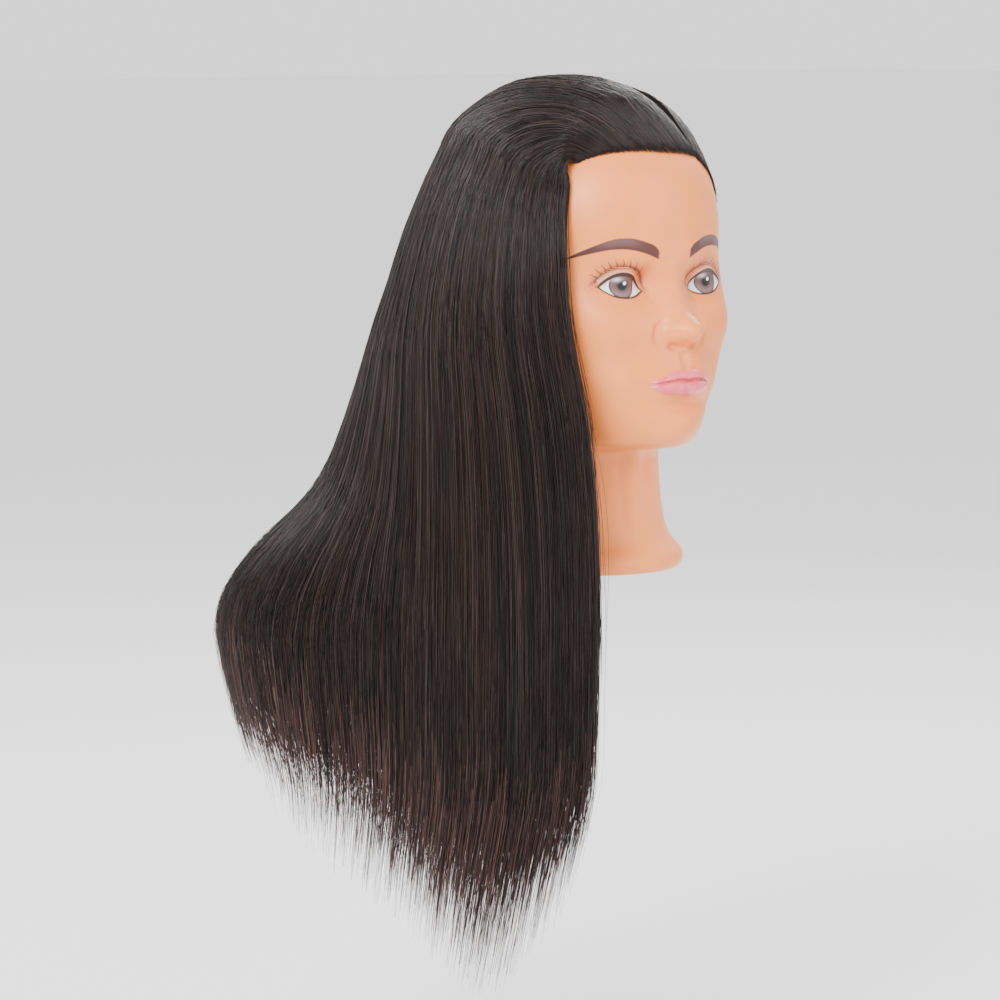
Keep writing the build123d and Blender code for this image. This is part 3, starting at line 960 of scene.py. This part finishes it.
def tube_mesh(name, paths, normals, radii, shade):
    """Closed three-sided tubes; paths and normals are (strand, point, 3)."""
    count, points = paths.shape[:2]
    along = normed(np.gradient(paths, axis=1))
    side = normed(np.cross(along, normals))
    up = np.cross(side, along)
    corners = [cos(k * pi / 6) * up + sin(k * pi / 6) * side for k in (1, 5, 9)]
    rings = paths[:, :, None] + np.stack(corners, axis=2) * radii[:, :, None, None]
    start = np.arange(count)[:, None] * points * 3
    here, after = np.arange(3), np.array([1, 2, 0])
    low = start[..., None] + (np.arange(points - 1) * 3)[:, None]
    quads = stack(low + here, low + after, low + 3 + after, low + 3 + here).reshape(-1, 4)
    tris = join(start + here[::-1], start + (points - 1) * 3 + here)
    shades = join(np.repeat(shade[:, :-1], 3, axis=1).ravel(), shade[:, 0], shade[:, -1])
    return new_mesh(name, rings.reshape(-1, 3), [quads, tris], shades)


def wander(count, points, size):
    """Slow random sway along each strand, zero at its root."""
    t = evenly(points)
    sway = np.zeros((count, points))
    for wave in (1, 2, 3):
        phase, strength = RNG.uniform(0, 2 * pi, (count, 1)), RNG.normal(0, 1, (count, 1))
        sway += strength * (np.sin(wave * pi * t + phase) - np.sin(phase)) / wave
    return sway * size


def strand_material(name, colour, roughness):
    look = Look(f"hair_{name}", colour, roughness, Specular_IOR_Level=0.3)
    look.bump(look.noise(look.point((1, 1, 0.2)), 2600, 2), 0.00004, 0.5)
    return look.material


def spaced(across, count):
    """Places in order across a range, one at random in each equal part of it."""
    low, high = across
    return low + (high - low) * (np.arange(count) + RNG.uniform(0, 1, count)) / count


def between(low, high, power=1):
    """A function that draws one value for each strand."""
    return lambda count: low + (high - low) * RNG.uniform(0, 1, count)[:, None] ** power


def add_strands(name, section, sheet, count, across, along, height, points=20, clump=0.3, per_lock=14,
                tuft=0, sway=0.0022, drift=0, lift_sway=0.35, emerge=0, splay=0, width=(0.15, 0.24),
                shares=SHARES):
    """Strands laid on a sheet; along draws where each one starts and ends."""
    centres = spaced(across, count)[:, None]
    lock_places = spaced(across, max(3, int(count / per_lock)))
    nearest = lock_places[np.argmin(np.abs(centres - lock_places), axis=1)][:, None]
    t = evenly(points)
    first, last = (draw(count) for draw in along)
    place = first + (last - first) * t
    gather = clump * ease(0.45, 1, place) + tuft * (1 - ease(0, 1, t))
    u = centres * (1 - gather) + nearest * gather + wander(count, points, sway)
    u = u + drift * RNG.uniform(0, 1, (count, 1)) * np.sin(pi * t * RNG.uniform(0.4, 1, (count, 1)))
    base, normals = sheet.sample(u, place)
    rise = height(count) + wander(count, points, lift_sway) + emerge * (ease(0, 0.12, t) - 1)
    paths = base + normals * rise[..., None]
    paths = paths + splay * ease(0.7, 1, t)[:, None] * RNG.normal(0, 1, (count, 1, 3))
    radius = RNG.uniform(*width, (count, 1))
    radius = radius * (0.55 + 0.45 * ease(0, 0.06, t)) * (1 - 0.6 * ease(0.8, 1, t))
    shade = RNG.choice(len(shares), (count, 1), p=np.array(shares) / sum(shares))
    # lighter reddish ends: painted light shining through the thin tips
    backlit_tip = RNG.uniform(0, 1, (count, 1)) < np.interp(place, (0.78, 1), (0, 0.75))
    mesh = tube_mesh(name, paths, normals, radius, np.where(backlit_tip, BACKLIT_END_SHADE, shade))
    add_piece(name, mesh, STRAND_MATERIALS, f"hair_{section}")


def mass_material():
    """Dark hair with streaks of colour and ridges along the strands."""
    look = Look("hair_body", (0.01, 0.006, 0.005), 0.42, Specular_IOR_Level=0.3)
    strand = look.node("Attribute", attribute_name="strand")["Vector"]
    fine = look.noise(look.scaled(strand, (900, 5, 1)), 1, 3)
    locks = look.noise(look.scaled(strand, (160, 3, 1)), 1, 2)
    colour = look.mix(look.ramp(fine, 0.35, 0.7), (0.0035, 0.0022, 0.002), (0.014, 0.0085, 0.008))
    colour = look.mix(look.ramp(locks, 0.55, 0.8, 0, 0.6), colour, (0.02, 0.009, 0.007))
    look.set(Base_Color=colour, Roughness=look.ramp(fine, 0.3, 0.7, 0.34, 0.52))
    look.bump(fine, 0.0004, 0.8)
    return look.material


def add_mass(section, sheet, across, along, depth, thick, rows, cols):
    """A closed body of hair under the strands, with ridges and a ragged lower edge."""
    name = f"{section}_body"
    u = np.linspace(*across, rows)[:, None]
    v = evenly(cols)
    hangs = along[1] > 0.5
    ragged = 0.014 * np.sin(u * 211) + 0.012 * np.sin(u * 97 + 1) + 0.016 * np.sin(u * 519 + 2)
    place = along[0] + (along[1] + ragged * hangs - along[0]) * v
    u = u + 0 * v
    base, normals = sheet.sample(u, place)
    ridges = 0.45 * np.sin(u * 620 + 2 * np.sin(place * 5)) + 0.35 * np.sin(u * 1130 + 3 * np.sin(place * 4))
    thin = 1 - 0.85 * ease(0.6, 1, v) * hangs
    rim = 0.25 + 0.75 * np.sqrt(unit(ease(0, 0.05, u - across[0]) * ease(0, 0.05, across[1] - u)))
    outer = base + normals * (ridges * 0.7 - depth - (1 - thin) * 1.5)[..., None]
    inner = base - normals * (depth + thick * thin * rim)[..., None]
    mesh = layer_mesh(name, inner, outer, np.ones((rows - 1, cols - 1), bool))[0]
    strand = mesh.attributes.new("strand", "FLOAT_VECTOR", "POINT")
    strand.data.foreach_set("vector", np.tile(stack(u, place, 0 * u).ravel(), 2))
    add_piece(name, mesh, [BODY_MATERIAL], f"hair_{section}")


STRAND_MATERIALS = [strand_material(*shade[:3]) for shade in SHADES]
BODY_MATERIAL = mass_material()


def add_roots(curtain, swept):
    """Fine short roots along the hairline, where the hair leaves the vinyl."""
    for name, section, sheet, first, last in (
            ("hairline_front", "top", curtain, between(-0.015, 0.004), between(0.05, 0.12)),
            ("hairline_left", "left_side", swept, between(-0.012, 0.008), between(0.05, 0.1))):
        add_strands(name, section, sheet, 3000, (0, 1), (first, last), between(-1, 0.1), points=8,
                    clump=0, tuft=0.5, per_lock=5, width=(0.09, 0.14), sway=0.0003, lift_sway=0.1)


def build_hair(outer):
    dome = Dome(outer)
    curtain, swept, nape = curtain_sheet(dome), swept_sheet(dome), nape_sheet()
    add_mass("top", curtain, (0, 1), (0.03, SPLIT + 0.03), 2, 7, 260, 40)
    for i in range(2):
        add_strands(f"top_strands_{i}", "top", curtain, 1400, (0, 1),
                    (between(0.004, SPLIT * 0.6, 2), between(SPLIT + 0.02, SPLIT + 0.2)),
                    between(-1.8, 0.6), clump=0, emerge=1, points=21)
    for section, first, last, pieces in SECTIONS:
        add_mass(section, curtain, (first, last), (SPLIT - 0.02, 0.75), 3, 9, int(620 * (last - first)), 80)
        for i in range(pieces):
            add_strands(f"{section}_strands_{i}", section, curtain, 1700, (first - 0.004, last + 0.004),
                        (between(SPLIT * 0.55, SPLIT * 1.05), between(1.025, 0.78, 0.6)),
                        between(-5.5, 0.8, 0.7), points=18, splay=1.2, clump=0.25, per_lock=6,
                        width=(0.13, 0.22))
    add_roots(curtain, swept)
    # loose hairs beside the cheek, in front of the hair's near edge
    add_strands("stray_hairs", "right_side", curtain, 60, (0, 0.02),
                (between(SPLIT * 0.5, SPLIT * 1.3), between(1, 0.5)), between(-2, 2), points=30, clump=0,
                width=(0.08, 0.13), sway=0.007, lift_sway=0.6, drift=-0.018, shares=(1, 2, 1, 5))
    add_mass("left_side", swept, (0, 1), (0.02, 0.6), 2, 4.5, 160, 60)
    add_strands("left_side_strands", "left_side", swept, 1240, (0, 1),
                (between(0.002, 0.12, 2.5), between(0.97, 0.5, 1.4)), between(-1.4, 0.8),
                points=26, clump=0.2, emerge=0.8)
    for section, first, last in (("right_nape", 0, 0.48), ("left_nape", 0.5, 1)):
        add_mass(section, nape, (first, last), (0.02, 0.75), 1.5, 7, 110, 50)
        add_strands(f"{section}_strands", section, nape, 1200, (first, last),
                    (between(0, 0.05), between(1, 0.75, 1.5)), between(-11, 1), points=16)


# ---- the disc and sleeve under the neck
PLASTICS = (       # node, name, both shades, roughness and the scale of the grain
    ("base_disc", "base_plastic", (0.52, 0.4, 0.3), (0.62, 0.5, 0.39), 0.5, 2200),
    ("socket_sleeve", "socket_plastic", (0.55, 0.55, 0.53), (0.68, 0.68, 0.66), 0.38, 3000),
)


def moulded_material(name, dark, light, roughness, grain):
    """Moulded plastic with a fine spark-eroded grain and faint flow marks."""
    look = Look(name, light, roughness)
    point = look.point()
    flow = look.ramp(look.noise(look.point((1, 1, 3)), 38, 3), 0.35, 0.7)
    rubbed = look.ramp(look.noise(point, 90, 4), 0.3, 0.7, roughness - 0.08, roughness + 0.1)
    look.set(Base_Color=look.mix(flow, dark, light), Roughness=rubbed)
    look.bump(look.noise(point, grain, 2), 0.0001, 0.5)
    return look.material


def finish_base():
    """The plastic parts keep their own shapes and get their materials."""
    for node, *look in PLASTICS:
        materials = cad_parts[node].data.materials
        materials.clear()
        materials.append(moulded_material(*look))


# ---- camera, lights and floor
VIEW_AZIMUTH = radians(-40)
VIEW_DISTANCE, VIEW_HEIGHT = 2.6, 0.328
AIM_ASIDE, AIM_LEVEL = -0.040, 0.0367      # the middle of the view
FRAME_WIDTH = 0.588                        # metres across the view at the object
SENSOR = 36
LIGHT_AIM = Vector((0, 0, 0.08))
LIGHTS = (       # name, bearing counted as the camera's is, height, distance, size, power
    ("key", -62, 1.3, 2, 0.8, 84),
    ("fill", 25, 0.9, 2.4, 1.4, 24),
    ("rim", 120, 1.4, 1.8, 1, 30),
    ("back", 200, 1.6, 1.8, 1.2, 30),
)
FLOOR_DROP, FLOOR_REACH = 0.12, 30


def aim(made, place, target):
    made.location = place
    made.rotation_euler = (target - place).to_track_quat("-Z", "Y").to_euler()


def add_camera():
    side = Vector((cos(VIEW_AZIMUTH), sin(VIEW_AZIMUTH), 0))
    toward = Vector((sin(VIEW_AZIMUTH), -cos(VIEW_AZIMUTH), 0))
    target = side * AIM_ASIDE + Vector((0, 0, AIM_LEVEL))
    place = side * AIM_ASIDE + toward * VIEW_DISTANCE + Vector((0, 0, VIEW_HEIGHT))
    data = bpy.data.cameras.new("camera")
    data.sensor_width = SENSOR
    data.lens = SENSOR * (target - place).length / FRAME_WIDTH
    camera = add_object("camera", data)
    aim(camera, place, target)
    bpy.context.scene.camera = camera


def add_light(name, azimuth, height, distance, size, power):
    """A square soft box, aimed at the head."""
    turn = radians(azimuth)
    data = bpy.data.lights.new(name, "AREA")
    data.size = size
    data.energy = power
    place = Vector((sin(turn) * distance, -cos(turn) * distance, height))
    aim(add_object(name, data), place, LIGHT_AIM)


def add_stage():
    world = bpy.data.worlds.new("studio")
    bpy.context.scene.world = world
    world.use_nodes = True
    background = world.node_tree.nodes["Background"]
    background.inputs["Color"].default_value = (1, 1, 1, 1)
    background.inputs["Strength"].default_value = 1.5
    for light in LIGHTS:
        add_light(*light)
    low = cad_box[0][2] - FLOOR_DROP
    corners = [(x * FLOOR_REACH, y * FLOOR_REACH, low) for x, y in ((-1, -1), (1, -1), (1, 1), (-1, 1))]
    floor = add_object("floor", bpy.data.meshes.new("floor"))
    floor.data.from_pydata(corners, [], [(0, 1, 2, 3)])
    floor.data.materials.append(mottled_material(
        "floor", (0.9, 0.9, 0.9), 0.7, (0.9, 0.9, 0.9), (0.93, 0.93, 0.93), (3, 2)))


add_camera()
add_stage()
vinyl = skin_material()
head_form = HeadForm()
skin_points = build_head(head_form, vinyl)
build_foam(skin_points)
for patch in PRINTS:
    print_patch(head_form, vinyl, *patch)
build_lining(skin_points)
for ear_side in (-1, 1):
    build_ear(ear_side, vinyl)
build_hair(skin_points)
finish_base()
